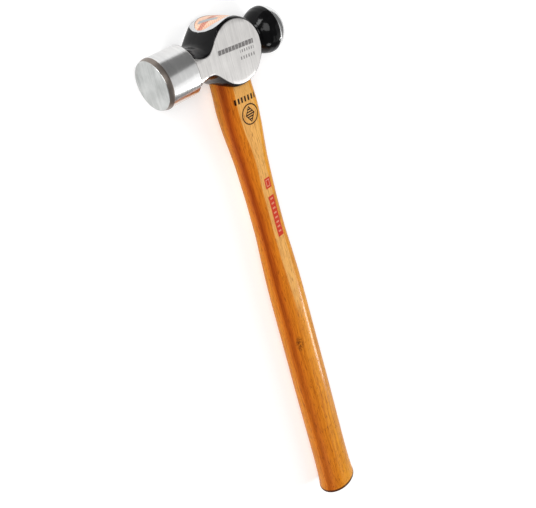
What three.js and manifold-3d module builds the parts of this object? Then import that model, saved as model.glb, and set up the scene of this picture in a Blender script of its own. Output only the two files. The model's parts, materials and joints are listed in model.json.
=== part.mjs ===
// Ball peen hammer lying on its side: forged steel head, hickory handle, wooden wedge and steel wedge.
// The hammer's own frame: +X from the poll to the peen, +Y out of the top of the eye, +Z out of the upper
// cheek, origin where the head's axis meets the handle's axis. The outer group tips it by the small angle at
// which the poll, the peen and the butt all touch the surface, and sets the origin under its middle.
import * as THREE from 'three';
import { mergeVertices } from 'three/addons/utils/BufferGeometryUtils.js';
import Module from 'manifold-3d';

// ---- Driving dimensions (millimetres) ----
const pollRadius = 15;
const faceX = -53.6;
const faceEdgeX = -52.8;
const faceEdgeRadius = 14.2;
const pollFrontX = -50;
const chamferX = -51.4;
const chamferRadius = 14.75;
const pollRearX = -30.2;
const neckStartX = -29.8;
const eyeRadius = 20;
const cheekZ = 14.1;
const cheekCentreX = 0.5;
const cheekRadius = 18;
const peenEdgeX = 35.4;
const peenRadius = 14.3;
const peenTipX = 47;
const buttY = -373.6;
const buttEdge = 1.6;
const shoulderY = -20.7;
const neckTopY = -13;
const tenonCrown = 19.7;
const eyeMouthY = 22;
const fitGap = 0.3;
const kerfBottomY = -9;
const woodWedgeTop = 4.2;
const woodWedgeBottom = 1.6;
const woodWedgeBottomY = -7.5;
const steelWedgeX = -3.9;
const steelWedgeTurn = THREE.MathUtils.degToRad(25);
const steelWedgeLength = 12.6;
const steelWedgeTop = 3.2;
const steelWedgeBottom = 0.9;
const steelWedgeBottomY = 4;

// ---- Outlines along the head: [x, value] ----
// Half-height of the head in the plane z = 0.
const headHeight = [
  [neckStartX, 12.2], [-27.5, 10.7], [-24, 9.8], [-20, 9.6], [-18, 10.2], [-16, 11.9], [-14, 14.1],
  [-12, 16], [-6, 19.1], [0, eyeRadius], [6, 19.1], [12, 16], [14, 14.2], [16, 12], [18, 9.9],
  [20, 8.4], [22, 7.7], [24.2, 8], [26, 9.7], [27.2, 10.9], [28.4, 11.9], [30, 12.95], [31.5, 13.5],
  [33.3, 14.1], [peenEdgeX, peenRadius],
];
// Half-width of the ground cheek and of the ground strip that joins it to the poll.
const cheekWidth = [
  [neckStartX, 7.1], [-26.7, 5.9], [-23.3, 5.2], [-20.2, 5.6], [-17.5, 7.3], [-15, 9.8], [-12.1, 12.75],
  [-8.3, 15.7], [-3.3, 17.6], [cheekCentreX, cheekRadius],
];
// Half-thickness of the head.
const headThickness = [
  [neckStartX, 13.6], [-23.3, 13.9], [-18, cheekZ], [18.2, cheekZ], [19.2, 13.3], [20, 11.5],
  [20.7, 9.6], [21.4, 8.4], [22.4, 7.7], [24.2, 8], [26, 9.7], [27.2, 10.9], [28.4, 11.9], [30, 12.95],
  [31.5, 13.5], [33.3, 14.1], [peenEdgeX, peenRadius],
];
// How square the shoulder between the top and the cheek is: 2 is an ellipse, more is squarer.
const shoulderPower = [
  [neckStartX, 2], [-17, 2.1], [-10, 3], [0, 4.2], [10, 4], [17, 2.6], [21.4, 2], [peenEdgeX, 2],
];

// ---- Outlines along the handle: [y, value] ----
const handleX = [
  [buttY, 16.8], [-367, 16.2], [-356, 15.6], [-340, 15.2], [-312, 15], [-264, 14.7], [-240, 14.4],
  [-216, 14.1], [-192, 13.8], [-168, 13.4], [-144, 12.3], [-120, 11.1], [-100, 11], [-84, 11.3], [-72, 11.7],
  [-60, 12.6], [-48, 13.6], [-36, 14.1], [-26, 13.6], [shoulderY, 13.2],
];
const handleZ = [
  [buttY, 12.8], [-367, 12.3], [-356, 11.8], [-340, 11.5], [-312, 11.3], [-264, 11.15], [-240, 10.9],
  [-216, 10.7], [-192, 10.6], [-168, 10.4], [-144, 9.9], [-120, 9.2], [-100, 9.15], [-84, 9.35], [-72, 9.5],
  [-60, 10.1], [-48, 10.9], [-36, 11.2], [-26, 10.9], [shoulderY, 10.6],
];
// Distance from the middle to the flats planed on both sides, which run out at the first position.
const handleFlat = [
  [-186, 10.6], [-161, 10], [-138, 9.1], [-118, 8.55], [-95, 8.55], [-74, 8.95], [-53, 9.45], [-36, 9.5],
  [shoulderY, 9.3],
];
// Half-sizes of the eye, wider at both mouths than in the middle.
const eyeX = [[-eyeMouthY, 12.2], [0, 11.2], [18, 11.9], [eyeMouthY, 12.2]];
const eyeZ = [[-eyeMouthY, 8.8], [0, 7.9], [10, 8.6], [18, 10.3], [eyeMouthY, 11]];

// ---- Helpers ----
// Monotone cubic curve through [position, value] points.
function curve(points, at) {
  const last = points.length - 1;
  if (at <= points[0][0]) return points[0][1];
  if (at >= points[last][0]) return points[last][1];
  const slope = (i) => (points[i + 1][1] - points[i][1]) / (points[i + 1][0] - points[i][0]);
  const tangent = (i) => {
    if (i === 0 || i === last) return 0;
    const [before, after] = [slope(i - 1), slope(i)];
    return before * after <= 0 ? 0 : (2 * before * after) / (before + after);
  };
  const i = points.findIndex((point, index) => index < last && at <= points[index + 1][0]);
  const width = points[i + 1][0] - points[i][0];
  const t = (at - points[i][0]) / width;
  const [start, end] = [points[i][1], points[i + 1][1]];
  const bulge = t * (1 - t) * width * ((1 - t) * tangent(i) - t * tangent(i + 1));
  return start + (end - start) * t * t * (3 - 2 * t) + bulge;
}

function spread(from, to, steps) {
  return Array.from({ length: steps + 1 }, (_, i) => from + ((to - from) * i) / steps);
}

// Closed skin over rings of points, with a flat fan at each end. Rings run anticlockwise seen from the last.
function skin(rings) {
  const around = rings[0].length;
  const positions = rings.flat(2);
  const index = [];
  for (let r = 0; r < rings.length - 1; r += 1) {
    for (let i = 0; i < around; i += 1) {
      const next = (i + 1) % around;
      const [here, above] = [r * around, (r + 1) * around];
      index.push(here + i, here + next, above + next, here + i, above + next, above + i);
    }
  }
  const total = (ring, axis) => ring.reduce((sum, point) => sum + point[axis], 0);
  const centre = (ring) => [0, 1, 2].map((axis) => total(ring, axis) / around);
  const startCentre = rings.length * around;
  const lastRing = (rings.length - 1) * around;
  positions.push(...centre(rings[0]), ...centre(rings[rings.length - 1]));
  for (let i = 0; i < around; i += 1) {
    const next = (i + 1) % around;
    index.push(startCentre, next, i, startCentre + 1, lastRing + i, lastRing + next);
  }
  const geometry = new THREE.BufferGeometry();
  geometry.setAttribute('position', new THREE.Float32BufferAttribute(positions, 3));
  geometry.setIndex(index);
  return geometry;
}

const mergeTolerance = 1e-4;

function toSolid(wasm, geometry) {
  const bare = geometry.clone();
  bare.deleteAttribute('normal');
  bare.deleteAttribute('uv');
  const merged = mergeVertices(bare, mergeTolerance);
  return new wasm.Manifold(new wasm.Mesh({
    numProp: 3,
    vertProperties: new Float32Array(merged.attributes.position.array),
    triVerts: new Uint32Array(merged.index.array),
  }));
}

function toMesh(solid, name, material) {
  const mesh = solid.getMesh();
  const geometry = new THREE.BufferGeometry();
  geometry.setAttribute('position', new THREE.BufferAttribute(mesh.vertProperties, 3));
  geometry.setIndex(new THREE.BufferAttribute(mesh.triVerts, 1));
  geometry.computeVertexNormals();
  const named = new THREE.Mesh(geometry, material);
  named.name = name;
  return named;
}

// ---- Head ----
const shoulderSteps = 9;

// Positions of the head's forged sections, closer together where the outline turns quickly.
const neckStations = spread(neckStartX, -12, 11);
const eyeStations = spread(-10, 16, 13);
const cheekEndStations = [17.2, 18, 18.45, 19.2, 19.8, 20.4, 21, 21.8];
const peenBackStations = spread(22.6, peenEdgeX, 12);

function sectionOfRevolution(x, radius) {
  return { x, height: radius, cheek: 0, thickness: radius, power: 2 };
}

function forgedSection(x) {
  const thickness = curve(headThickness, x);
  const beyondCheek = x - cheekCentreX;
  const roundCheek = Math.sqrt(Math.max(0, cheekRadius ** 2 - beyondCheek ** 2));
  const cheek = beyondCheek > 0 ? roundCheek : curve(cheekWidth, x);
  return { x, height: curve(headHeight, x), cheek, thickness, power: curve(shoulderPower, x) };
}

// One ring of the head: the shoulder from the top to the cheek, mirrored into four quarters.
function headRing({ x, height, cheek, thickness, power }) {
  const quarter = spread(0, Math.PI / 2, shoulderSteps).map((angle) => {
    const z = thickness * Math.sin(angle) ** (2 / power);
    const y = cheek + (height - cheek) * Math.cos(angle) ** (2 / power);
    return [y, z];
  });
  const topRight = quarter.map(([y, z]) => [x, y, z]);
  const bottomRight = quarter.map(([y, z]) => [x, -y, z]).reverse();
  const bottomLeft = quarter.slice(1).map(([y, z]) => [x, -y, -z]);
  const topLeft = quarter.slice(1, -1).map(([y, z]) => [x, y, -z]).reverse();
  return [...topRight, ...bottomRight, ...bottomLeft, [x, quarter.at(-1)[0], -quarter.at(-1)[1]], ...topLeft];
}

function headSolid(wasm) {
  const face = spread(0.25, 1, 3).map((part) => {
    const x = faceX + (faceEdgeX - faceX) * part ** 2;
    return sectionOfRevolution(x, faceEdgeRadius * part);
  });
  const poll = [
    sectionOfRevolution(chamferX, chamferRadius),
    sectionOfRevolution(pollFrontX, pollRadius),
    sectionOfRevolution(pollRearX, pollRadius),
  ];
  const stations = [...neckStations, ...eyeStations, ...cheekEndStations, ...peenBackStations];
  const forged = stations.map(forgedSection);
  const dome = spread(0.15, 0.95, 6).map((part) => {
    const angle = (part * Math.PI) / 2;
    const x = peenEdgeX + (peenTipX - peenEdgeX) * Math.sin(angle);
    return sectionOfRevolution(x, peenRadius * Math.cos(angle));
  });
  return toSolid(wasm, skin([...face, ...poll, ...forged, ...dome].map(headRing)));
}

// ---- Eye and handle ----
const ovalSteps = 40;
const eyeSteps = 11;
const gripSteps = 38;
const crownSegments = 36;
// Shares of the rounded butt edge at which the handle has a ring.
const buttShares = [0, 0.3, 0.6, 0.85];

// Oval ring square to the handle, cut off at the flats when there are any.
function ovalRing(y, halfX, halfZ, flat = Infinity) {
  return Array.from({ length: ovalSteps }, (_, i) => {
    const angle = (2 * Math.PI * i) / ovalSteps;
    const z = halfZ * Math.sin(angle);
    return [halfX * Math.cos(angle), y, -Math.min(flat, Math.max(-flat, z))];
  });
}

function eyeSolid(wasm, gap) {
  const ring = (y) => ovalRing(y, curve(eyeX, y) - gap, curve(eyeZ, y) - gap);
  return toSolid(wasm, skin(spread(-eyeMouthY, eyeMouthY, eyeSteps).map(ring)));
}

function handleRing(y) {
  const flat = y < handleFlat[0][0] ? Infinity : curve(handleFlat, y);
  return ovalRing(y, curve(handleX, y), curve(handleZ, y), flat);
}

// Everything that stays inside the crown, the arc to which the tenon and the wedges are trimmed.
function crownSolid(wasm) {
  const outline = new THREE.Shape();
  outline.moveTo(-tenonCrown, 0);
  outline.lineTo(-tenonCrown, buttY - 1);
  outline.lineTo(tenonCrown, buttY - 1);
  outline.lineTo(tenonCrown, 0);
  outline.absarc(0, 0, tenonCrown, 0, Math.PI, false);
  const depth = 2 * tenonCrown;
  const options = { depth, bevelEnabled: false, curveSegments: crownSegments };
  const geometry = new THREE.ExtrudeGeometry(outline, options);
  geometry.translate(0, 0, -depth / 2);
  return toSolid(wasm, geometry);
}

// The shaft fits the underside of the head, and the tenon goes on through the eye.
function handleSolid(wasm) {
  const butt = buttShares.map((part) => {
    const inset = buttEdge * (1 - Math.sqrt(1 - (1 - part) ** 2));
    const y = buttY + buttEdge * part;
    return ovalRing(y, curve(handleX, y) - inset, curve(handleZ, y) - inset);
  });
  const grip = spread(buttY + buttEdge, shoulderY, gripSteps).map(handleRing);
  const underside = headSolid(wasm).translate([0, -fitGap, 0]);
  const shaft = toSolid(wasm, skin([...butt, ...grip, handleRing(neckTopY)])).subtract(underside);
  return shaft.add(eyeSolid(wasm, fitGap));
}

// ---- Wedges ----
// Height at which the wedges start, before they are trimmed to the crown.
const wedgeTopY = tenonCrown + 1;

// Plank along Z, tapering in thickness (along X) from its top to its bottom.
function taperedPlank(topY, bottomY, length, topWidth, bottomWidth) {
  const ring = (y, width) => [
    [width / 2, y, length / 2],
    [width / 2, y, -length / 2],
    [-width / 2, y, -length / 2],
    [-width / 2, y, length / 2],
  ];
  return skin([ring(bottomY, bottomWidth), ring(topY, topWidth)]);
}

function woodWedgePlank(gap) {
  const bottomY = gap > 0 ? kerfBottomY : woodWedgeBottomY;
  const [top, bottom] = [woodWedgeTop + gap, woodWedgeBottom + gap];
  return taperedPlank(wedgeTopY, bottomY, 2 * eyeRadius, top, bottom).rotateY(Math.PI / 2);
}

function steelWedgePlank(gap) {
  const [bottomY, length] = [steelWedgeBottomY - gap, steelWedgeLength + gap];
  const [top, bottom] = [steelWedgeTop + gap, steelWedgeBottom + gap];
  const plank = taperedPlank(wedgeTopY, bottomY, length, top, bottom);
  return plank.rotateY(steelWedgeTurn).translate(steelWedgeX, 0, 0);
}

// ---- Assembly ----
const steel = new THREE.MeshStandardMaterial({ color: 0xb9b7b4, roughness: 0.32, metalness: 1 });
const hickory = new THREE.MeshStandardMaterial({ color: 0xcc8433, roughness: 0.35, metalness: 0 });
const wedgeWood = new THREE.MeshStandardMaterial({ color: 0x9a4f2c, roughness: 0.6, metalness: 0 });
const wedgeSteel = new THREE.MeshStandardMaterial({ color: 0x8b979c, roughness: 0.45, metalness: 1 });

const wasm = await Module();
wasm.setup();
const crown = crownSolid(wasm);
const kerf = toSolid(wasm, woodWedgePlank(2 * fitGap));
const steelSlot = toSolid(wasm, steelWedgePlank(2 * fitGap));
const head = headSolid(wasm).subtract(eyeSolid(wasm, 0));
const handle = handleSolid(wasm).intersect(crown).subtract(kerf).subtract(steelSlot);
const woodWedge = toSolid(wasm, woodWedgePlank(0)).intersect(crown).intersect(eyeSolid(wasm, fitGap));
const steelWedge = toSolid(wasm, steelWedgePlank(0)).intersect(crown);

const hammer = new THREE.Group();
hammer.add(
  toMesh(head, 'head', steel),
  toMesh(handle, 'handle', hickory),
  toMesh(woodWedge.subtract(steelSlot), 'wood_wedge', wedgeWood),
  toMesh(steelWedge, 'steel_wedge', wedgeSteel),
);

// At rest the poll's rear edge, the peen's edge and the butt touch the surface.
const pitch = Math.atan2(pollRadius - peenRadius, peenEdgeX - pollRearX);
const liftAtHandle = pollRadius + pollRearX * Math.tan(pitch);
const roll = Math.atan2(liftAtHandle - curve(handleZ, buttY), -buttY);
hammer.rotation.set(roll, pitch, 0);

const resting = new THREE.Group();
resting.add(hammer);
resting.updateMatrixWorld(true);
const box = new THREE.Box3().setFromObject(resting, true);
const middle = box.getCenter(new THREE.Vector3());
hammer.position.set(-middle.x, -middle.y, -box.min.z);

export default resting;
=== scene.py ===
"""Looks for a ball peen hammer lying on its side on a pale floor.

Every piece is modelled in millimetres in the hammer's own frame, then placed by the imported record:
+X runs from the poll to the ball, +Y out of the top of the eye, +Z out of the upper cheek, with the
origin where the axis of the head meets the axis of the handle.
"""
import json
import math

import bmesh
import bpy
from mathutils import Euler, Matrix, Vector


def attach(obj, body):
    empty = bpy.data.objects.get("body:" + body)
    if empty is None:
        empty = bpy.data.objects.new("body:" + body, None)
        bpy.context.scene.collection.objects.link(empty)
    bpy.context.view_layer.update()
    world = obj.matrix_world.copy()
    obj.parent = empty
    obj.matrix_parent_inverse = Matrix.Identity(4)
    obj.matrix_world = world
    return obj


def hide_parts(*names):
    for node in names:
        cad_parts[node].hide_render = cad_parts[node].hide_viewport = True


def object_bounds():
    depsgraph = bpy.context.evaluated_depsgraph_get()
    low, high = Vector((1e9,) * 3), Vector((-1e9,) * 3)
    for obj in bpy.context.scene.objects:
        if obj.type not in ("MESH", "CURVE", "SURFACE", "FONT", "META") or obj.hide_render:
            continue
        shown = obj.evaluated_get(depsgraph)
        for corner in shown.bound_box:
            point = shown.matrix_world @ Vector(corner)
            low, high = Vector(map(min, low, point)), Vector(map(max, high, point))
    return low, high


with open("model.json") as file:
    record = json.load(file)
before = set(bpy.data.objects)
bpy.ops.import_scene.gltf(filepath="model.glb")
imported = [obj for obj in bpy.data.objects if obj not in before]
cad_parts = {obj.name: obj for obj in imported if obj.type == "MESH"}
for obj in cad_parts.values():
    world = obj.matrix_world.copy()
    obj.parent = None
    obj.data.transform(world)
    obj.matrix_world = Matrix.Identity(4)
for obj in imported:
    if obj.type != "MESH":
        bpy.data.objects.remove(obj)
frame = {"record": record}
cad_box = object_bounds()
MM = 0.001

# ---------------------------------------------------------------- the hammer's own frame
mounts = {mount["name"]: mount for mount in frame["record"]["mounts"]}
cheek_up = Vector(mounts["upper_cheek"]["axis"])
upper_cheek = Vector(mounts["upper_cheek"]["pos_m"])
lower_cheek = Vector(mounts["lower_cheek"]["pos_m"])
PITCH = math.asin(cheek_up.x)
ROLL = math.atan2(-cheek_up.y, cheek_up.z)
HAMMER = (
    Matrix.Translation((upper_cheek + lower_cheek) / 2)
    @ Matrix.Rotation(ROLL, 4, "X")
    @ Matrix.Rotation(PITCH, 4, "Y")
)
CHEEK_Z = (upper_cheek - lower_cheek).length / 2 / MM

# ---------------------------------------------------------------- camera
camera_data = bpy.data.cameras.new("camera")
camera_data.lens = 48.03
camera_data.sensor_width = 36
camera_data.clip_start = 0.01
camera_data.clip_end = 20
camera = bpy.data.objects.new("camera", camera_data)
camera.location = (-0.25231, 0.28611, 0.34582)
camera.rotation_euler = Euler([math.radians(angle) for angle in (-18.719, -43.513, -18.691)], "XYZ")
bpy.context.scene.collection.objects.link(camera)
bpy.context.scene.camera = camera

# ---------------------------------------------------------------- dimensions (millimetres)
POLL_RADIUS = 15
FACE_X = -53.6
FACE_EDGE = (-52.9, 14.1)
CHAMFER_END = (-50, POLL_RADIUS)
POLL_REAR_X = -30.3
NECK_X = -29.9
EYE_RADIUS = 20
CHEEK_CENTRE_X = 0.5
CHEEK_RADIUS = 18
LAND_HALF_WIDTH = 12.6
LAND_CROWN = 0.6
CHEEK_BEVEL = 0.18
PEEN_EDGE = (35.4, 14.3)
PEEN_TIP_X = 47
CROWN_RADIUS = 19.8
EYE_MOUTH_Y = 22
TENON_GAP = 0.08
SHAFT_END_Y = -24.5
SHOULDER_Y = -20.7
TENON_START_Y = -11
BUTT_Y = -373.6
BUTT_EDGE = 1.5

# Outlines along the head: (x, value). First, its height above the axis.
HEIGHT = [
    (NECK_X, 12.2), (-27.5, 10.7), (-24, 9.8), (-20, 9.6), (-18, 10.2), (-16, 11.9), (-14, 14.1),
    (-12, 16), (-6, 19.1), (0, EYE_RADIUS), (6, 19.1), (12, 16), (14, 14.2), (16, 12), (18, 9.9),
    (20, 8.4), (22, 7.7), (24.2, 8), (26, 9.7), (27.2, 10.9), (28.4, 11.9), (30, 12.95), (31.5, 13.5),
    (33.3, 14.1), PEEN_EDGE,
]
# Half-width of the land on the top, which is ground bright, and on the underside, which is black.
LAND_WIDTH = [
    (-12.8, 0), (-12.3, 4.5), (-11.2, 7.8), (-9.4, 11), (-6.3, LAND_HALF_WIDTH), (-2.6, 12.5),
    (1, 12), (5, 10.8), (9, 8.2), (11.5, 4.5), (12.8, 0),
]
# Half-width, along Y, of the flat cheek and of the strip that leads to it.
CHEEK_WIDTH = [
    (NECK_X, 7.1), (-26.7, 5.9), (-23.3, 5.2), (-20.2, 5.6), (-17.5, 7.3), (-15, 9.8), (-12.1, 12.75),
    (-8.3, 15.7), (-3.3, 17.6), (CHEEK_CENTRE_X, CHEEK_RADIUS),
]
# Thickness beyond the cheek, where the head narrows to the peen's neck.
THICKNESS = [
    (18.2, CHEEK_Z), (19.2, 13.3), (20, 11.5), (20.7, 9.6), (21.4, 8.4), (22.4, 7.7), (24.2, 8), (26, 9.7),
    (27.2, 10.9), (28.4, 11.9), (30, 12.95), (31.5, 13.5), (33.3, 14.1), PEEN_EDGE,
]
# Radius, about the axis of the head, of the turned strip that joins the poll to the flat cheek.
STRIP_RADIUS = [(NECK_X, 14.97), (-23.5, 15), (-20, 15.8), (-17.5, 18), (-15, 24), (-12, 60)]
# Power of the shoulder's curve: 2 is an ellipse, and higher powers are squarer.
SHOULDER_POWER = [
    (NECK_X, 2), (-17, 2.1), (-13, 3), (-8, 6), (0, 9), (16, 8), (19, 4.5), (21.4, 2), (40, 2),
]

# Half-axes of the handle: (y, value).
HANDLE_X = [
    (BUTT_Y, 16.8), (-367, 16.2), (-356, 15.6), (-340, 15.2), (-312, 15), (-264, 14.7), (-240, 14.4),
    (-216, 14.1), (-192, 13.8), (-168, 13.4), (-144, 12.3), (-120, 11.1), (-100, 11), (-84, 11.3),
    (-72, 11.7), (-60, 12.6), (-48, 13.6), (-36, 14.1), (-26, 13.6), (SHOULDER_Y, 13.2),
]
HANDLE_Z = [
    (BUTT_Y, 12.8), (-367, 12.3), (-356, 11.8), (-340, 11.5), (-312, 11.3), (-264, 11.15), (-240, 10.9),
    (-216, 10.7), (-192, 10.6), (-168, 10.4), (-144, 9.9), (-120, 9.2), (-100, 9.15), (-84, 9.35), (-72, 9.5),
    (-60, 10.1), (-48, 10.9), (-36, 11.2), (-26, 10.9), (SHOULDER_Y, 10.6),
]
# Distance from the middle to the flats, which run out at the first position.
HANDLE_FLAT = [
    (-186, 10.6), (-161, 10), (-138, 9.1), (-118, 8.55), (-95, 8.55), (-74, 8.95), (-53, 9.45), (-36, 9.5),
    (SHOULDER_Y, 9.3),
]
# Half-axes of the eye: (y, value).
EYE_X = [(-EYE_MOUTH_Y, 12.2), (0, 11.2), (18, 11.9), (EYE_MOUTH_Y, 12.2)]
EYE_Z = [(-EYE_MOUTH_Y, 8.8), (0, 7.9), (10, 8.6), (18, 10.3), (EYE_MOUTH_Y, 11)]


# ---------------------------------------------------------------- helpers
MERGE_DISTANCE = 2e-6  # metres
DEGENERATE_LENGTH = 1e-7  # metres
SMOOTH_ANGLE = math.radians(30)


def curve(points, at):
    """Monotone cubic curve through (position, value) points."""
    last = len(points) - 1
    if at <= points[0][0]:
        return points[0][1]
    if at >= points[last][0]:
        return points[last][1]

    def slope(i):
        return (points[i + 1][1] - points[i][1]) / (points[i + 1][0] - points[i][0])

    def tangent(i):
        if i in (0, last) or slope(i - 1) * slope(i) <= 0:
            return 0
        return 2 * slope(i - 1) * slope(i) / (slope(i - 1) + slope(i))

    i = next(index for index in range(last) if at <= points[index + 1][0])
    width = points[i + 1][0] - points[i][0]
    t = (at - points[i][0]) / width
    start, end = points[i][1], points[i + 1][1]
    bulge = t * (1 - t) * width * ((1 - t) * tangent(i) - t * tangent(i + 1))
    return start + (end - start) * t * t * (3 - 2 * t) + bulge


def spread(start, end, steps):
    return [start + (end - start) * i / steps for i in range(steps + 1)]


def soft_min(a, b, width):
    overlap = max(width - abs(a - b), 0) / width
    return min(a, b) - overlap * overlap * width / 4


def loft(rings, zone=lambda ring, row: 0, cap_zones=(0, 0)):
    """bmesh of a closed skin over equal rings of points, with a fan at each end."""
    mesh = bmesh.new()
    grid = [[mesh.verts.new(Vector(point) * MM) for point in ring] for ring in rings]
    around = len(rings[0])
    for r in range(len(grid) - 1):
        for i in range(around):
            j = (i + 1) % around
            face = mesh.faces.new((grid[r][i], grid[r][j], grid[r + 1][j], grid[r + 1][i]))
            face.material_index = zone(r, i)
    for ring, cap_zone in ((grid[0], cap_zones[0]), (grid[-1], cap_zones[1])):
        middle = mesh.verts.new(sum((vert.co for vert in ring), Vector()) / around)
        for i in range(around):
            face = mesh.faces.new((middle, ring[i], ring[(i + 1) % around]))
            face.material_index = cap_zone
    bmesh.ops.remove_doubles(mesh, verts=mesh.verts, dist=MERGE_DISTANCE)
    bmesh.ops.dissolve_degenerate(mesh, dist=DEGENERATE_LENGTH, edges=mesh.edges)
    bmesh.ops.recalc_face_normals(mesh, faces=mesh.faces)
    return mesh


def shade(data):
    data.shade_smooth()
    data.set_sharp_from_angle(angle=SMOOTH_ANGLE)


def add_piece(name, mesh, materials):
    data = bpy.data.meshes.new(name)
    mesh.to_mesh(data)
    mesh.free()
    for material in materials:
        data.materials.append(material)
    shade(data)
    piece = bpy.data.objects.new(name, data)
    piece.matrix_world = HAMMER
    bpy.context.scene.collection.objects.link(piece)
    return piece


def cut(piece, tool_mesh, operation, solver="MANIFOLD"):
    """Boolean of piece with a bmesh, applied to its mesh."""
    data = bpy.data.meshes.new("tool")
    tool_mesh.to_mesh(data)
    tool_mesh.free()
    tool = bpy.data.objects.new("tool", data)
    tool.matrix_world = piece.matrix_world
    bpy.context.scene.collection.objects.link(tool)
    modifier = piece.modifiers.new("cut", "BOOLEAN")
    modifier.operation = operation
    modifier.solver = solver
    modifier.object = tool
    bpy.context.view_layer.update()
    depsgraph = bpy.context.evaluated_depsgraph_get()
    result = bpy.data.meshes.new_from_object(piece.evaluated_get(depsgraph))
    piece.modifiers.clear()
    piece.data = result
    bpy.data.objects.remove(tool)
    return piece


# ---------------------------------------------------------------- material helpers
class Nodes:
    """Short way to write a node tree in millimetres of the hammer's frame."""

    def __init__(self, name):
        self.material = bpy.data.materials.new(name)
        self.material.use_nodes = True
        self.tree = self.material.node_tree
        self.shader = self.tree.nodes["Principled BSDF"]
        self.coordinates = self.add("ShaderNodeTexCoord")
        self.position = self.vector("MULTIPLY", self.coordinates.outputs["Object"], (1 / MM, 1 / MM, 1 / MM))

    def add(self, kind, **settings):
        node = self.tree.nodes.new(kind)
        for key, value in settings.items():
            setattr(node, key, value)
        return node

    def feed(self, socket, value):
        if isinstance(value, bpy.types.NodeSocket):
            self.tree.links.new(value, socket)
        else:
            socket.default_value = value

    def vector(self, operation, a, b):
        node = self.add("ShaderNodeVectorMath", operation=operation)
        self.feed(node.inputs[0], a)
        self.feed(node.inputs[1], b)
        return node.outputs[0]

    def length(self, vector):
        node = self.add("ShaderNodeVectorMath", operation="LENGTH")
        self.feed(node.inputs[0], vector)
        return node.outputs["Value"]

    def distance(self, value, middle):
        return self.math("ABSOLUTE", self.math("SUBTRACT", value, middle))

    def math(self, operation, a, b=0.0, clamp=False):
        node = self.add("ShaderNodeMath", operation=operation, use_clamp=clamp)
        self.feed(node.inputs[0], a)
        self.feed(node.inputs[1], b)
        return node.outputs[0]

    def scaled(self, scale):
        return self.vector("MULTIPLY", self.position, scale)

    def noise(self, scale, detail=3.0, roughness=0.55, distortion=0.0, vector=None):
        node = self.add("ShaderNodeTexNoise")
        self.feed(node.inputs["Vector"], self.scaled(scale) if vector is None else vector)
        node.inputs["Scale"].default_value = 1
        node.inputs["Detail"].default_value = detail
        node.inputs["Roughness"].default_value = roughness
        node.inputs["Distortion"].default_value = distortion
        return node.outputs["Fac"]

    def ramp(self, factor, stops, interpolation="LINEAR"):
        node = self.add("ShaderNodeValToRGB")
        node.color_ramp.interpolation = interpolation
        elements = node.color_ramp.elements
        while len(elements) < len(stops):
            elements.new(0.5)
        for element, (place, colour) in zip(elements, stops):
            element.position = place
            element.color = colour if len(colour) == 4 else (*colour, 1)
        self.feed(node.inputs[0], factor)
        return node.outputs[0]

    def span(self, value, low, high, to_low=0.0, to_high=1.0):
        node = self.add("ShaderNodeMapRange")
        for index, item in enumerate((value, low, high, to_low, to_high)):
            self.feed(node.inputs[index], item)
        return node.outputs[0]

    def product(self, *values):
        result = values[0]
        for value in values[1:]:
            result = self.math("MULTIPLY", result, value)
        return result

    def plate(self, u, v, centre, half, soft=0.12):
        """1 inside a rectangle of the plane (u, v), 0 outside."""
        sides = []
        for coordinate, middle, reach in zip((u, v), centre, half):
            sides.append(self.span(self.distance(coordinate, middle), reach + soft, reach - soft))
        return self.product(*sides)

    def strokes(self, u, period, filled, soft=0.1):
        """Row of marks along u: filled is the marked share of each period."""
        distance = self.math("PINGPONG", u, period / 2)
        reach = period * filled / 2
        return self.span(distance, reach + soft, reach - soft)

    def turned(self, x, y, degrees):
        """x and y in axes turned anticlockwise by an angle."""
        cosine, sine = math.cos(math.radians(degrees)), math.sin(math.radians(degrees))
        along = self.math("ADD", self.math("MULTIPLY", x, cosine), self.math("MULTIPLY", y, sine))
        across = self.math("SUBTRACT", self.math("MULTIPLY", y, cosine), self.math("MULTIPLY", x, sine))
        return along, across

    def axes(self, vector):
        node = self.add("ShaderNodeSeparateXYZ")
        self.feed(node.inputs[0], vector)
        return node.outputs

    def mix(self, factor, a, b, blend="MIX"):
        node = self.add("ShaderNodeMix", data_type="RGBA", blend_type=blend)
        self.feed(node.inputs[0], factor)
        self.feed(node.inputs[6], a)
        self.feed(node.inputs[7], b)
        return node.outputs[2]

    def bump(self, height, depth, normal=None):
        node = self.add("ShaderNodeBump")
        node.inputs["Strength"].default_value = 1
        node.inputs["Distance"].default_value = depth * MM
        self.feed(node.inputs["Height"], height)
        if normal is not None:
            self.feed(node.inputs["Normal"], normal)
        return node.outputs[0]

    def finish(self, **inputs):
        for key, value in inputs.items():
            self.feed(self.shader.inputs[key.replace("_", " ")], value)
        return self.material


def srgb(red, green, blue):
    def linear(value):
        value /= 255
        return value / 12.92 if value <= 0.04045 else ((value + 0.055) / 1.055) ** 2.4

    return (linear(red), linear(green), linear(blue), 1)


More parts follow.
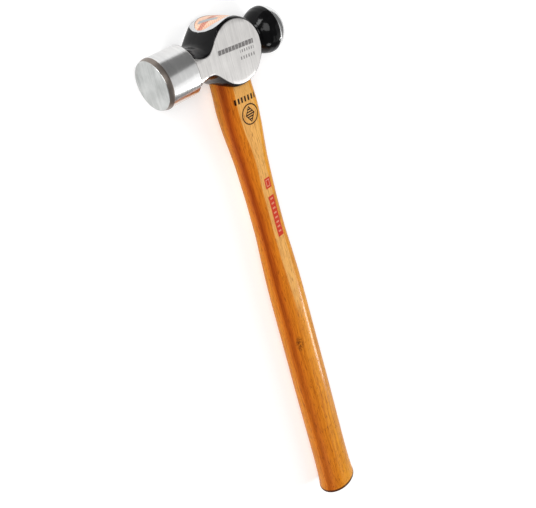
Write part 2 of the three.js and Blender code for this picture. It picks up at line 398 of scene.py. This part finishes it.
# ---------------------------------------------------------------- metal
def steel(name, brush, light, dark, roughness, depth, streak=0.5, etching=None):
    """Ground steel. brush is the changes of the scratch pattern per millimetre along X, Y and Z."""
    nodes = Nodes(name)
    fine = nodes.noise(brush, detail=4, roughness=0.7)
    coarse = nodes.noise([value * 0.3 for value in brush], detail=3, roughness=0.6)
    cloud = nodes.noise((0.09, 0.09, 0.09), detail=3)
    scratch = nodes.math("ADD", nodes.math("MULTIPLY", fine, 0.65), nodes.math("MULTIPLY", coarse, 0.35))
    streaks, clouds = nodes.math("MULTIPLY", scratch, streak), nodes.math("MULTIPLY", cloud, 1 - streak)
    tone = nodes.math("ADD", streaks, clouds)
    colour = nodes.ramp(tone, [(0.34, dark), (0.66, light)])
    rough = nodes.span(scratch, 0.3, 0.7, roughness * 0.8, roughness * 1.2)
    normal = nodes.bump(scratch, depth)
    if etching:
        mask = etching(nodes)
        colour = nodes.mix(nodes.math("MULTIPLY", mask, 0.85), colour, ETCHED)
        rough = nodes.math("ADD", rough, nodes.math("MULTIPLY", mask, 0.3))
        normal = nodes.bump(mask, -0.03, normal)
    return nodes.finish(Base_Color=colour, Metallic=1.0, Roughness=rough, Normal=normal)


ETCHED = (0.13, 0.12, 0.12, 1)
MARKS_TURN = -4.5  # degrees between the rows of marks and the axis of the head


def cheek_etching(nodes):
    """Plain etched marks on the upper cheek: a hatched bar over two rows of dashes."""
    x, y, z = nodes.axes(nodes.position)
    along, across = nodes.turned(x, y, MARKS_TURN)
    speckle = nodes.span(nodes.noise((3.2, 3.2, 3.2), detail=2), 0.3, 0.5, 0.35, 1)
    bar, upper_dashes, lower_dashes = [
        nodes.product(nodes.plate(along, across, centre, half), nodes.strokes(along, period, filled), speckle)
        for centre, half, period, filled in (
            ((-0.7, 3.05), (13.6, 1.35), 2.6, 0.86),
            ((7.2, -0.35), (5.4, 0.85), 1.8, 0.42),
            ((7.3, -4.15), (6, 0.9), 2, 0.42),
        )
    ]
    dashes = nodes.math("ADD", upper_dashes, lower_dashes)
    marks = nodes.math("ADD", bar, nodes.math("MULTIPLY", dashes, 0.9))
    return nodes.math("MULTIPLY", marks, nodes.span(z, 10, 11))


def lacquer():
    """Gloss black lacquer over a forged skin."""
    nodes = Nodes("black_lacquer")
    skin = nodes.noise((0.3, 0.3, 0.3), detail=4, roughness=0.5)
    orange_peel = nodes.noise((1.6, 1.6, 1.6), detail=2)
    colour = nodes.ramp(skin, [(0.3, srgb(7, 7, 8)), (0.75, srgb(14, 14, 15))])
    rough = nodes.span(orange_peel, 0.3, 0.7, 0.1, 0.16)
    low = nodes.bump(skin, 0.1)
    normal = nodes.bump(orange_peel, 0.008, low)
    return nodes.finish(Base_Color=colour, Roughness=rough, Normal=normal, Specular_IOR_Level=0.14)


# ---------------------------------------------------------------- wood
RING_CENTRE = (1.1, -39)
RING_RADIUS = 6.1
DIAMOND_SIZE = 3.3


def burnt_marks(nodes, x, y, top):
    """Plain burnt marks on the upper flat: a row of strokes, and a diamond in a ring."""
    along, across = nodes.turned(x, y, MARKS_TURN)
    row = nodes.product(
        nodes.plate(along, across, (2.2, -28.8), (9.1, 1.7), 0.2), nodes.strokes(along, 2.6, 0.52, 0.15),
    )
    offset = nodes.vector("SUBTRACT", nodes.position, (*RING_CENTRE, 0))
    radius = nodes.length(nodes.vector("MULTIPLY", offset, (1, 1, 0)))
    ring = nodes.span(nodes.distance(radius, RING_RADIUS), 0.55, 0.25)
    reach_x = nodes.distance(x, RING_CENTRE[0])
    reach_y = nodes.math("MULTIPLY", nodes.distance(y, RING_CENTRE[1]), 0.7)
    size = nodes.math("ADD", reach_x, reach_y)
    hatching = nodes.strokes(y, 1.5, 0.6, 0.12)
    diamond = nodes.product(nodes.span(size, DIAMOND_SIZE + 0.2, DIAMOND_SIZE - 0.2), hatching)
    outline = nodes.span(nodes.distance(size, DIAMOND_SIZE), 0.5, 0.26)
    marks = nodes.math("MAXIMUM", nodes.math("MAXIMUM", row, ring), nodes.math("MAXIMUM", diamond, outline))
    return nodes.math("MULTIPLY", marks, top)


def red_label(nodes, x, y, top):
    """Plain printed label on the upper flat: a square and a long bar, each with pale marks inside."""
    square_centre, bar_centre = (1.6, -86.6), (1.45, -111)
    square = nodes.plate(x, y, square_centre, (2.45, 3.7))
    bar = nodes.plate(x, y, bar_centre, (2.45, 15.2))
    frame_outside = nodes.plate(x, y, square_centre, (1.5, 2.5))
    square_frame = nodes.math("SUBTRACT", frame_outside, nodes.plate(x, y, square_centre, (1, 1.9)))
    dashes = nodes.product(nodes.plate(x, y, bar_centre, (1.2, 14)), nodes.strokes(y, 3.5, 0.34))
    pale = nodes.math("ADD", square_frame, dashes)
    red = nodes.math("ADD", square, bar)
    return nodes.math("MULTIPLY", red, top), nodes.math("MULTIPLY", pale, top)


# Colour of the wood by depth across its layers, in millimetres.
LAYERS = [
    (-14, (214, 136, 34)), (-7, (212, 130, 26)), (-4.4, (202, 108, 20)), (-2.6, (168, 76, 14)),
    (-1, (150, 62, 12)), (0.8, (180, 84, 16)), (3, (204, 110, 24)), (7, (214, 126, 30)),
    (9, (226, 140, 32)), (12, (242, 160, 38)), (14, (248, 170, 42)),
]
STREAK_END_Y = (-290, -120)
KNOTS = (((-12.2, -31, 6.4), 0.5), ((-7.5, -214, 8.6), 2.6))  # centre and radius
FLAT_FADE_Y = (-196, -176)
BUTT_RIM = (3.6, 2.7)  # distances from the butt between which the dark band at the butt end fades in


def hickory():
    """Clear lacquered hickory: grain along the handle, a red-brown streak, fine pores and two knots."""
    nodes = Nodes("hickory_lacquered")
    x, y, z = nodes.axes(nodes.position)
    drift = nodes.noise((0.03, 0.008, 0.03), detail=2)
    bend = nodes.math("MULTIPLY", nodes.math("SUBTRACT", drift, 0.5), 7.0)
    depth = nodes.math("ADD", nodes.math("ADD", nodes.math("MULTIPLY", x, 0.5), z), bend)
    low, high = LAYERS[0][0], LAYERS[-1][0]
    layers = nodes.ramp(nodes.span(depth, low, high), [
        ((place - low) / (high - low), srgb(*colour)) for place, colour in LAYERS
    ])
    colour = nodes.mix(nodes.span(y, *STREAK_END_Y, 0.7, 1), srgb(214, 122, 24), layers)
    band_vector = nodes.add("ShaderNodeCombineXYZ")
    nodes.feed(band_vector.inputs[0], nodes.math("MULTIPLY", depth, 0.9))
    nodes.feed(band_vector.inputs[1], nodes.math("MULTIPLY", y, 0.01))
    nodes.feed(band_vector.inputs[2], nodes.math("MULTIPLY", x, 0.06))
    bands = nodes.noise(None, detail=4, roughness=0.7, vector=band_vector.outputs[0])
    band_tone = nodes.ramp(bands, [(0.3, (0.72, 0.6, 0.5)), (0.5, (1, 1, 1)), (0.7, (1.12, 1.18, 1.2))])
    colour = nodes.mix(0.75, colour, nodes.mix(1.0, colour, band_tone, "MULTIPLY"))
    face = nodes.axes(nodes.coordinates.outputs["Normal"])[2]
    flat = nodes.product(nodes.span(nodes.math("ABSOLUTE", face), 0.985, 0.997), nodes.span(y, *FLAT_FADE_Y))
    colour = nodes.mix(nodes.math("MULTIPLY", flat, 0.72), colour, srgb(244, 188, 106))
    fibre = nodes.noise((1.5, 0.06, 1.5), detail=5, roughness=0.7)
    fibre_tone = nodes.ramp(fibre, [(0.3, (0.6, 0.48, 0.36)), (0.5, (1, 1, 1)), (0.7, (1.16, 1.24, 1.36))])
    colour = nodes.mix(0.8, colour, nodes.mix(1.0, colour, fibre_tone, "MULTIPLY"))
    pores = nodes.noise((2.6, 0.17, 2.6), detail=2, roughness=0.4)
    pore_mask = nodes.span(pores, 0.39, 0.33)
    colour = nodes.mix(nodes.math("MULTIPLY", pore_mask, 0.6), colour, srgb(118, 46, 6))
    mottle = nodes.span(nodes.noise((0.9, 0.6, 0.9), detail=4, roughness=0.7), 0.42, 0.6, 0.1, 1)
    for centre, size in KNOTS:
        stretched = nodes.vector("MULTIPLY", nodes.vector("SUBTRACT", nodes.position, centre), (1, 0.45, 1))
        ragged = nodes.math("ADD", nodes.length(stretched), nodes.math("MULTIPLY", fibre, 1.2))
        knot = nodes.span(ragged, size + 1.4, size)
        colour = nodes.mix(nodes.product(knot, mottle, 0.8), colour, srgb(80, 36, 10))
    # Dark brown band over the last few millimetres of the handle, darker towards the butt end.
    rim = nodes.span(y, BUTT_Y + BUTT_RIM[0], BUTT_Y + BUTT_RIM[1], 0, 0.9)
    colour = nodes.mix(rim, colour, srgb(52, 24, 12))
    top = nodes.span(z, 7, 8)
    worn = nodes.span(nodes.noise((1.5, 0.6, 1.5), detail=3), 0.3, 0.5, 0.9, 1)
    burnt = nodes.math("MULTIPLY", burnt_marks(nodes, x, y, top), worn)
    colour = nodes.mix(burnt, colour, srgb(30, 9, 4))
    red, pale = red_label(nodes, x, y, top)
    colour = nodes.mix(nodes.math("MULTIPLY", red, worn), colour, srgb(206, 46, 18))
    colour = nodes.mix(nodes.math("MULTIPLY", pale, 0.6), colour, srgb(240, 176, 140))
    relief = nodes.bump(fibre, 0.015, nodes.bump(pore_mask, -0.012, nodes.bump(burnt, -0.04)))
    rough = nodes.span(fibre, 0.3, 0.7, 0.36, 0.46)
    return nodes.finish(
        Base_Color=colour, Roughness=rough, Normal=relief, Coat_Weight=0.18, Coat_Roughness=0.18,
        Specular_IOR_Level=0.04,
    )


def end_grain(name, pale, dark, ring_width):
    """Sawn end of the wood: growth rings dotted with pores, under a thin finish."""
    nodes = Nodes(name)
    wave = nodes.add("ShaderNodeTexWave", wave_type="RINGS", rings_direction="Y")
    nodes.feed(wave.inputs["Vector"], nodes.vector("ADD", nodes.position, (26, 0, 9)))
    wave.inputs["Scale"].default_value = 0.314 / ring_width
    wave.inputs["Distortion"].default_value = 1.5
    wave.inputs["Detail"].default_value = 1
    wave.inputs["Detail Scale"].default_value = 0.25
    rings = nodes.ramp(wave.outputs["Fac"], [(0.1, dark), (0.4, pale), (1, pale)])
    cloud = nodes.ramp(nodes.noise((0.25, 0.25, 0.25), detail=3), [(0.35, dark), (0.6, pale)])
    colour = nodes.mix(0.45, rings, cloud)
    pores = nodes.span(nodes.noise((3, 3, 3), detail=1), 0.36, 0.3)
    colour = nodes.mix(nodes.math("MULTIPLY", pores, 0.6), colour, dark)
    pits = nodes.bump(pores, -0.04)
    return nodes.finish(
        Base_Color=colour, Roughness=0.5, Normal=pits, Coat_Weight=0.2, Coat_Roughness=0.25,
    )


FACE_STEEL = steel(
    "face_steel", (0.5, 0.08, 1.4), (0.66, 0.67, 0.66), (0.34, 0.35, 0.34), 0.34, 0.005, 0.55,
)
# The chamfer round the face gets dark brownish steel: its colour is a painted reflection of the surroundings.
CHAMFER_REFLECTION_STEEL = steel("chamfer_steel_painted_reflection", (5, 0.4, 0.4), (0.3, 0.26, 0.23), (0.2, 0.17, 0.15), 0.36, 0.003)
TURNED_STEEL = steel(
    "turned_steel", (2.2, 0.05, 0.05), (0.82, 0.82, 0.81), (0.62, 0.62, 0.62), 0.22, 0.001, 0.7,
)
BRUSHED_STEEL = steel(
    "brushed_steel", (1.3, 0.05, 1), (0.84, 0.82, 0.8), (0.58, 0.565, 0.55), 0.34, 0.004, 0.75, cheek_etching,
)
LAND_STEEL = steel("land_steel", (0.3, 0.3, 3), (0.74, 0.75, 0.76), (0.6, 0.61, 0.62), 0.32, 0.003)
# The small bevels at the poll's rear corner and round the cheek get darker, rougher steel: painted shade
# along these edges, which also dulls their highlight.
EDGE_SHADE_STEEL = steel("edge_steel_painted_shade", (0.8, 0.8, 0.8), (0.4, 0.39, 0.38), (0.24, 0.23, 0.22), 0.5, 0.002)
BALL_STEEL = steel("ball_steel", (1.2, 0.5, 0.5), (0.8, 0.8, 0.8), (0.68, 0.68, 0.68), 0.2, 0.002)
WEDGE_STEEL = steel("wedge_steel", (0.4, 0.4, 4), (0.5, 0.55, 0.57), (0.36, 0.4, 0.42), 0.4, 0.006)
LACQUER = lacquer()
HICKORY = hickory()
TENON_END = end_grain("tenon_end_grain", srgb(244, 206, 178), srgb(216, 156, 124), 1.2)
BUTT_END = end_grain("butt_end_grain", srgb(206, 142, 78), srgb(122, 70, 32), 2.2)
WEDGE_WOOD = end_grain("wedge_end_grain", srgb(216, 142, 116), srgb(166, 92, 72), 1.1)

# ---------------------------------------------------------------- head
LAND_ROWS = 6
SHOULDER_ROWS = 16
CHEEK_ROWS = 8
DOME_RINGS = 31
FACE, CHAMFER, TURNED, BRUSHED, BLACK, LAND, BALL, EDGE = range(8)


def mirrored(x, quarter):
    """Ring of a head section from its quarter, which runs from the top to the middle of the upper cheek."""
    top_near = [(x, y, z) for y, z in quarter]
    bottom_near = [(x, -y, z) for y, z in reversed(quarter[:-1])]
    bottom_far = [(x, -y, -z) for y, z in quarter[1:]]
    top_far = [(x, y, -z) for y, z in reversed(quarter[1:-1])]
    return top_near + bottom_near + bottom_far + top_far


def turned_ring(x, radius):
    """Round section whose rows line up with those of the neck's strip."""
    strip = radius * curve(CHEEK_WIDTH, NECK_X) / POLL_RADIUS
    start = math.acos(strip / radius)
    rows = LAND_ROWS + SHOULDER_ROWS
    turns = [start * i / rows for i in range(rows)]
    quarter = [(radius * math.cos(turn), radius * math.sin(turn)) for turn in turns]
    for i in range(CHEEK_ROWS + 1):
        y = strip * (1 - i / CHEEK_ROWS)
        quarter.append((y, math.sqrt(radius**2 - y**2)))
    return mirrored(x, quarter)


def cheek_surface(x, y):
    return min(CHEEK_Z, math.sqrt(max(curve(STRIP_RADIUS, x) ** 2 - y**2, 0)))


def land_height(top, z):
    """Height at z of a land that is crowned across its width."""
    return top - LAND_CROWN * (z / LAND_HALF_WIDTH) ** 2


def forged_shape(x):
    """Sizes of the section at x: its land, its cheek, and the curve of the shoulder between them.

    The shoulder is y**power + fall * z**power = rise.
    """
    along = x - CHEEK_CENTRE_X
    if along > 0:
        cheek = math.sqrt(max(CHEEK_RADIUS**2 - along**2, 0))
    else:
        cheek = curve(CHEEK_WIDTH, x)
    bevel = CHEEK_BEVEL * min(cheek / 2, 1)
    top = curve(HEIGHT, x)
    edge = curve(THICKNESS, x) if x > THICKNESS[0][0] else cheek_surface(x, cheek)
    land = curve(LAND_WIDTH, x)
    land_edge = land_height(top, land)
    power = curve(SHOULDER_POWER, x)
    corner = (cheek + bevel, edge - bevel)
    fall = (land_edge**power - corner[0] ** power) / (corner[1] ** power - land**power)
    rise = land_edge**power + fall * land**power
    return dict(
        land=land, top=top, cheek=cheek - bevel, edge=edge, corner=corner, power=power, fall=fall, rise=rise,
    )


def roof(x, z):
    """Height of the top of the head over (x, z); the underside is its mirror image."""
    shape = forged_shape(x)
    if abs(z) <= shape["land"]:
        return land_height(shape["top"], z)
    return max(shape["rise"] - shape["fall"] * abs(z) ** shape["power"], 0) ** (1 / shape["power"])


def forged_ring(x):
    """Section of the neck, eye or peen: ground land, black shoulder, ground cheek."""
    shape = forged_shape(x)
    land, power, rise, fall = shape["land"], shape["power"], shape["rise"], shape["fall"]
    high, wide = rise ** (1 / power), (rise / fall) ** (1 / power)
    start = math.asin(min((land / wide) ** (power / 2), 1))
    end = math.asin(min((shape["corner"][1] / wide) ** (power / 2), 1))
    quarter = []
    for i in range(LAND_ROWS):
        z = land * i / LAND_ROWS
        quarter.append((land_height(shape["top"], z), z))
    for angle in spread(start, end, SHOULDER_ROWS):
        quarter.append((high * max(math.cos(angle), 0) ** (2 / power), wide * math.sin(angle) ** (2 / power)))
    for i in range(CHEEK_ROWS):
        y = shape["cheek"] * (1 - i / (CHEEK_ROWS - 1))
        quarter.append((y, cheek_surface(x, y) if x <= THICKNESS[0][0] else shape["edge"]))
    return mirrored(x, quarter)


def dome_ring(x, radius):
    """Round section with the rows of a forged ring that has neither land nor cheek."""
    turns = spread(0, math.pi / 2, SHOULDER_ROWS)
    quarter = [(radius, 0)] * LAND_ROWS
    quarter += [(radius * math.cos(turn), radius * math.sin(turn)) for turn in turns]
    quarter += [(0, radius)] * CHEEK_ROWS
    return mirrored(x, quarter)


def round_corner(before, corner, after, radius, steps=5):
    """Arc-like corner of a profile, as a quadratic curve."""
    before, corner, after = Vector(before), Vector(corner), Vector(after)
    start = corner + (before - corner).normalized() * radius
    end = corner + (after - corner).normalized() * radius
    return [tuple(start.lerp(corner, t).lerp(corner.lerp(end, t), t)) for t in spread(0, 1, steps)]


def make_head():
    face_depth = FACE_EDGE[0] - FACE_X
    crown = [(FACE_X + face_depth * part**2, FACE_EDGE[1] * part) for part in spread(0.06, 0.94, 14)]
    poll_rear = (POLL_REAR_X, POLL_RADIUS)
    face_corner = round_corner(crown[-1], FACE_EDGE, CHAMFER_END, 0.35)
    chamfer_corner = round_corner(FACE_EDGE, CHAMFER_END, poll_rear, 0.5)
    rear_corner = round_corner(CHAMFER_END, poll_rear, (POLL_REAR_X + 0.15, POLL_RADIUS - 0.3), 0.2)
    profile = (
        [(point, FACE) for point in crown]
        + [(point, FACE) for point in face_corner]
        + [(point, CHAMFER) for point in chamfer_corner]
        + [(rear_corner[0], TURNED)]
        + [(point, EDGE) for point in rear_corner[1:]]
        + [((POLL_REAR_X + 0.2, POLL_RADIUS - 0.12), EDGE)]
    )
    rings = [turned_ring(*point) for point, _ in profile]
    zones = [kind for _, kind in profile]
    neck, eye = spread(NECK_X, -18, 36), spread(-17.8, 17.6, 118)
    peen_neck, peen_cone = spread(17.8, 23.4, 40), spread(23.6, PEEN_EDGE[0], 40)
    stations = neck + eye + peen_neck + peen_cone
    for x in stations:
        rings.append(forged_ring(x))
        zones.append(BLACK)
    first_forged = len(profile)
    for part in spread(0.02, 0.99, DOME_RINGS - 1):
        angle = part * math.pi / 2
        x = PEEN_EDGE[0] + (PEEN_TIP_X - PEEN_EDGE[0]) * math.sin(angle)
        rings.append(dome_ring(x, PEEN_EDGE[1] * math.cos(angle)))
        zones.append(BALL)
    quarter = LAND_ROWS + SHOULDER_ROWS + CHEEK_ROWS
    last_ground = first_forged + sum(x < CHEEK_CENTRE_X + CHEEK_RADIUS for x in stations)

    def zone(ring, row):
        kind = zones[ring + 1] if ring + 1 < first_forged else zones[ring]
        place = row % (2 * quarter)
        from_top = place if place < quarter else 2 * quarter - 1 - place
        if ring + 1 >= first_forged and kind == BLACK and ring < last_ground:
            if row < LAND_ROWS or row >= 4 * quarter - LAND_ROWS:
                return LAND
            if from_top == LAND_ROWS + SHOULDER_ROWS:
                return EDGE
            if from_top > LAND_ROWS + SHOULDER_ROWS:
                return BRUSHED
        return kind

    mesh = loft(rings, zone, (FACE, BALL))
    head = add_piece(
        "head_steel", mesh,
        (FACE_STEEL, CHAMFER_REFLECTION_STEEL, TURNED_STEEL, BRUSHED_STEEL, LACQUER, LAND_STEEL, BALL_STEEL, EDGE_SHADE_STEEL),
    )
    cut(head, loft(eye_rings(0, EYE_MOUTH_Y + 4)), "DIFFERENCE", "EXACT")
    return head


# ---------------------------------------------------------------- eye, handle and wedges
EYE_STEPS = 16
GRIP_STEPS = 240
TENON_STEPS = 20
# Points over each rounded side and each flat of the handle.
SIDE_STEPS = 26
FLAT_STEPS = 14
FLAT_EDGE = 0.5
NO_FLAT = 99


def oval(y, half_x, half_z, steps=96):
    turns = [2 * math.pi * i / steps for i in range(steps)]
    return [(half_x * math.cos(turn), y, half_z * math.sin(turn)) for turn in turns]


def eye_rings(gap, reach):
    """Eye narrowed all round by a gap, from -reach to reach along Y."""
    return [oval(y, curve(EYE_X, y) - gap, curve(EYE_Z, y) - gap) for y in spread(-reach, reach, EYE_STEPS)]


def flat_height(y):
    return curve(HANDLE_FLAT, y) if y > HANDLE_FLAT[0][0] else NO_FLAT


def handle_ring(y, inset=0):
    """Section of the handle: an oval with a soft-edged flat on each side."""
    half_x, half_z = curve(HANDLE_X, y) - inset, curve(HANDLE_Z, y) - inset
    flat = flat_height(y)
    edge = math.asin(min(flat / half_z, 0.999))
    ring = []
    for middle in (0, math.pi):
        for s in spread(-1, 1, SIDE_STEPS):
            turn = middle + edge * math.sin(s * math.pi / 2)
            ring.append((half_x * math.cos(turn), half_z * math.sin(turn)))
        reach = half_x * math.cos(edge) * (1 if middle == 0 else -1)
        for s in spread(1, -1, FLAT_STEPS)[1:-1]:
            x = reach * math.sin(s * math.pi / 2)
            z = half_z * math.sqrt(1 - (x / half_x) ** 2) * (1 if middle == 0 else -1)
            ring.append((x, z))
    return [(x, y, math.copysign(soft_min(abs(z), flat, FLAT_EDGE), z)) for x, z in ring]


def tenon_ring(y, gap):
    """Section of the tenon with the same rows as handle_ring."""
    half_x, half_z = curve(EYE_X, y) - gap, curve(EYE_Z, y) - gap
    outline = []
    for point in handle_ring(SHOULDER_Y):
        turn = math.atan2(point[2] / curve(HANDLE_Z, SHOULDER_Y), point[0] / curve(HANDLE_X, SHOULDER_Y))
        outline.append((half_x * math.cos(turn), y, half_z * math.sin(turn)))
    return outline


def crown_tool():
    """Everything inside the crowned surface to which the tenon and the wedges are trimmed."""
    side, bottom = CROWN_RADIUS + 1, BUTT_Y - 5
    rings = []
    for z in spread(-LAND_HALF_WIDTH, LAND_HALF_WIDTH, 24):
        radius = land_height(CROWN_RADIUS, z)
        arc = [(radius * math.cos(turn), radius * math.sin(turn)) for turn in spread(0, math.pi, 90)]
        rings.append([(x, y, z) for x, y in ((side, bottom), *arc, (-side, bottom))])
    return loft(rings)


def plank(length, top, bottom, bottom_y, top_y):
    """Wedge along X that tapers in Z, as rings from its bottom to its top."""
    rings = []
    for y in (bottom_y, top_y):
        half = (bottom + (top - bottom) * (y - bottom_y) / (top_y - bottom_y)) / 2
        corners = [(length / 2, half), (-length / 2, half), (-length / 2, -half), (length / 2, -half)]
        rings.append([(x, y, z) for x, z in corners])
    return rings


WOOD_WEDGE = dict(length=40, top=4.2, bottom=1.6, bottom_y=-7.5, top_y=CROWN_RADIUS + 1)
STEEL_WEDGE = dict(length=12.6, top=3.2, bottom=0.9, bottom_y=4, top_y=CROWN_RADIUS + 1)
STEEL_WEDGE_X = -3.9
STEEL_WEDGE_TURN = math.radians(25)


def steel_wedge_rings(gap):
    """Steel wedge, grown by a gap, turned about Y and moved along X."""
    rings = plank(**{**STEEL_WEDGE, "top": STEEL_WEDGE["top"] + gap, "length": STEEL_WEDGE["length"] + gap})
    cosine, sine = math.cos(STEEL_WEDGE_TURN), math.sin(STEEL_WEDGE_TURN)
    return [
        [(STEEL_WEDGE_X + x * sine + z * cosine, y, x * cosine - z * sine) for x, y, z in ring]
        for ring in rings
    ]


def make_handle():
    butt = []
    for turn in spread(0, math.pi / 2, 8):
        inset = BUTT_EDGE * (1 - math.sin(turn))
        butt.append(handle_ring(BUTT_Y + BUTT_EDGE * (1 - math.cos(turn)), inset))
    grip = [handle_ring(y) for y in spread(BUTT_Y + BUTT_EDGE + 0.5, SHAFT_END_Y, GRIP_STEPS)]
    outer = handle_ring(SHOULDER_Y)
    fitted = [(x, -roof(x, z) - TENON_GAP, z) for x, _, z in outer]
    neck = []
    for part in (0.25, 0.5, 0.75, 0.9, 1):
        neck.append([tuple(Vector(a).lerp(b, part)) for a, b in zip(handle_ring(SHAFT_END_Y), fitted)])
    inner = [(x, -roof(x, z) - TENON_GAP, z) for x, _, z in tenon_ring(SHOULDER_Y, TENON_GAP)]
    seat = []
    for part in spread(0, 1, 4)[1:-1]:
        ring = [(a[0] + (b[0] - a[0]) * part, a[2] + (b[2] - a[2]) * part) for a, b in zip(outer, inner)]
        seat.append([(x, -roof(x, z) - TENON_GAP, z) for x, z in ring])
    tenon = [tenon_ring(y, TENON_GAP) for y in spread(TENON_START_Y, EYE_MOUTH_Y, TENON_STEPS)]
    rings = butt + grip + neck + seat + [inner] + tenon
    handle = add_piece("handle_hickory", loft(rings, cap_zones=(1, 0)), (HICKORY, BUTT_END, TENON_END))
    gap = 2 * TENON_GAP
    cut(handle, crown_tool(), "INTERSECT")
    cut(handle, loft(plank(**{**WOOD_WEDGE, "top": WOOD_WEDGE["top"] + gap})), "DIFFERENCE")
    cut(handle, loft(steel_wedge_rings(gap)), "DIFFERENCE")
    paint_top(handle, 2)
    return handle


TENON_TOP_Y = 10  # only faces above this can belong to the trimmed top


def paint_top(piece, index):
    """Gives the faces that the crown trimmed their own material and a crisp edge."""
    for face in piece.data.polygons:
        x, y, z = (value / MM for value in face.center)
        if y > TENON_TOP_Y and math.hypot(x, y) > land_height(CROWN_RADIUS, z) - 0.1:
            face.material_index = index
    shade(piece.data)


def make_wood_wedge():
    wedge = add_piece("wood_wedge_end", loft(plank(**WOOD_WEDGE)), (WEDGE_WOOD,))
    cut(wedge, crown_tool(), "INTERSECT")
    cut(wedge, loft(eye_rings(TENON_GAP, EYE_MOUTH_Y)), "INTERSECT")
    cut(wedge, loft(steel_wedge_rings(2 * TENON_GAP)), "DIFFERENCE")
    paint_top(wedge, 0)
    return wedge


def make_steel_wedge():
    wedge = add_piece("steel_wedge_end", loft(steel_wedge_rings(0)), (WEDGE_STEEL,))
    cut(wedge, crown_tool(), "INTERSECT")
    paint_top(wedge, 0)
    return wedge


# ---------------------------------------------------------------- assembly
head = make_head()
handle = make_handle()
wood_wedge = make_wood_wedge()
steel_wedge = make_steel_wedge()
for piece, node, slot in (
    (head, "head", "forged_steel"),
    (handle, "handle", "hickory"),
    (wood_wedge, "wood_wedge", "wedge_wood"),
    (steel_wedge, "steel_wedge", "wedge_steel"),
):
    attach(piece, "root")
    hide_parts(node)


# ---------------------------------------------------------------- floor and light
def make_floor():
    data = bpy.data.meshes.new("floor")
    reach = 3
    corners = [(-reach, -reach, 0), (reach, -reach, 0), (reach, reach, 0), (-reach, reach, 0)]
    data.from_pydata(corners, [], [(0, 1, 2, 3)])
    floor = bpy.data.objects.new("floor", data)
    floor.location = (0, 0, cad_box[0][2])
    nodes = Nodes("floor_paper")
    grain = nodes.noise((0.4, 0.4, 0.4), detail=2)
    paper = nodes.ramp(grain, [(0.3, (0.66, 0.66, 0.66)), (0.7, (0.68, 0.68, 0.68))])
    nodes.finish(
        Base_Color=paper, Roughness=1.0, Specular_IOR_Level=0.0, Emission_Color=(1, 1, 1, 1),
        Emission_Strength=0.5,
    )
    data.materials.append(nodes.material)
    bpy.context.scene.collection.objects.link(floor)


def add_softbox(name, direction, distance, size, radiance, up=(0, 0, 1)):
    """Area light that faces the head from a direction, with a given brightness of its surface."""
    data = bpy.data.lights.new(name, "AREA")
    data.shape = "RECTANGLE"
    data.size, data.size_y = size
    data.energy = radiance * math.pi * size[0] * size[1]
    light = bpy.data.objects.new(name, data)
    target = upper_cheek + Vector((0, -0.08, 0))
    towards = Vector(direction).normalized()
    side = Vector(up).cross(towards).normalized()
    turn = Matrix((side, towards.cross(side), towards)).transposed()
    light.matrix_world = Matrix.Translation(target + towards * distance) @ turn.to_4x4()
    bpy.context.scene.collection.objects.link(light)


make_floor()
add_softbox("far_softbox", (0.507, -0.567, 0.648), 1.6, (1.4, 0.9), 1.1, up=(0, 0.55, 0.835))
add_softbox("upper_softbox", (0.515, -0.02, 0.87), 1.6, (1.3, 0.95), 0.6, up=(0, 0.8, 0.6))
add_softbox("strip_light", (0.67, -0.645, 0.34), 1.58, (0.2, 0.26), 34, up=(-0.5, -0.85, -0.2))
add_softbox("near_softbox", (-0.6, 0.42, 0.85), 1.6, (0.85, 0.85), 5.8)
add_softbox("rim_light", (-0.62, 0.81, 0.24), 1.6, (0.6, 0.4), 14)
add_softbox("low_light", (-0.28, -0.91, 0.3), 1.6, (0.3, 0.3), 9)
world = bpy.data.worlds.new("studio")
world.use_nodes = True
background = world.node_tree.nodes["Background"]
background.inputs["Color"].default_value = (1, 1, 1, 1)
background.inputs["Strength"].default_value = 0.22
bpy.context.scene.world = world
bpy.context.scene.view_settings.view_transform = "Standard"

bpy.context.view_layer.update()
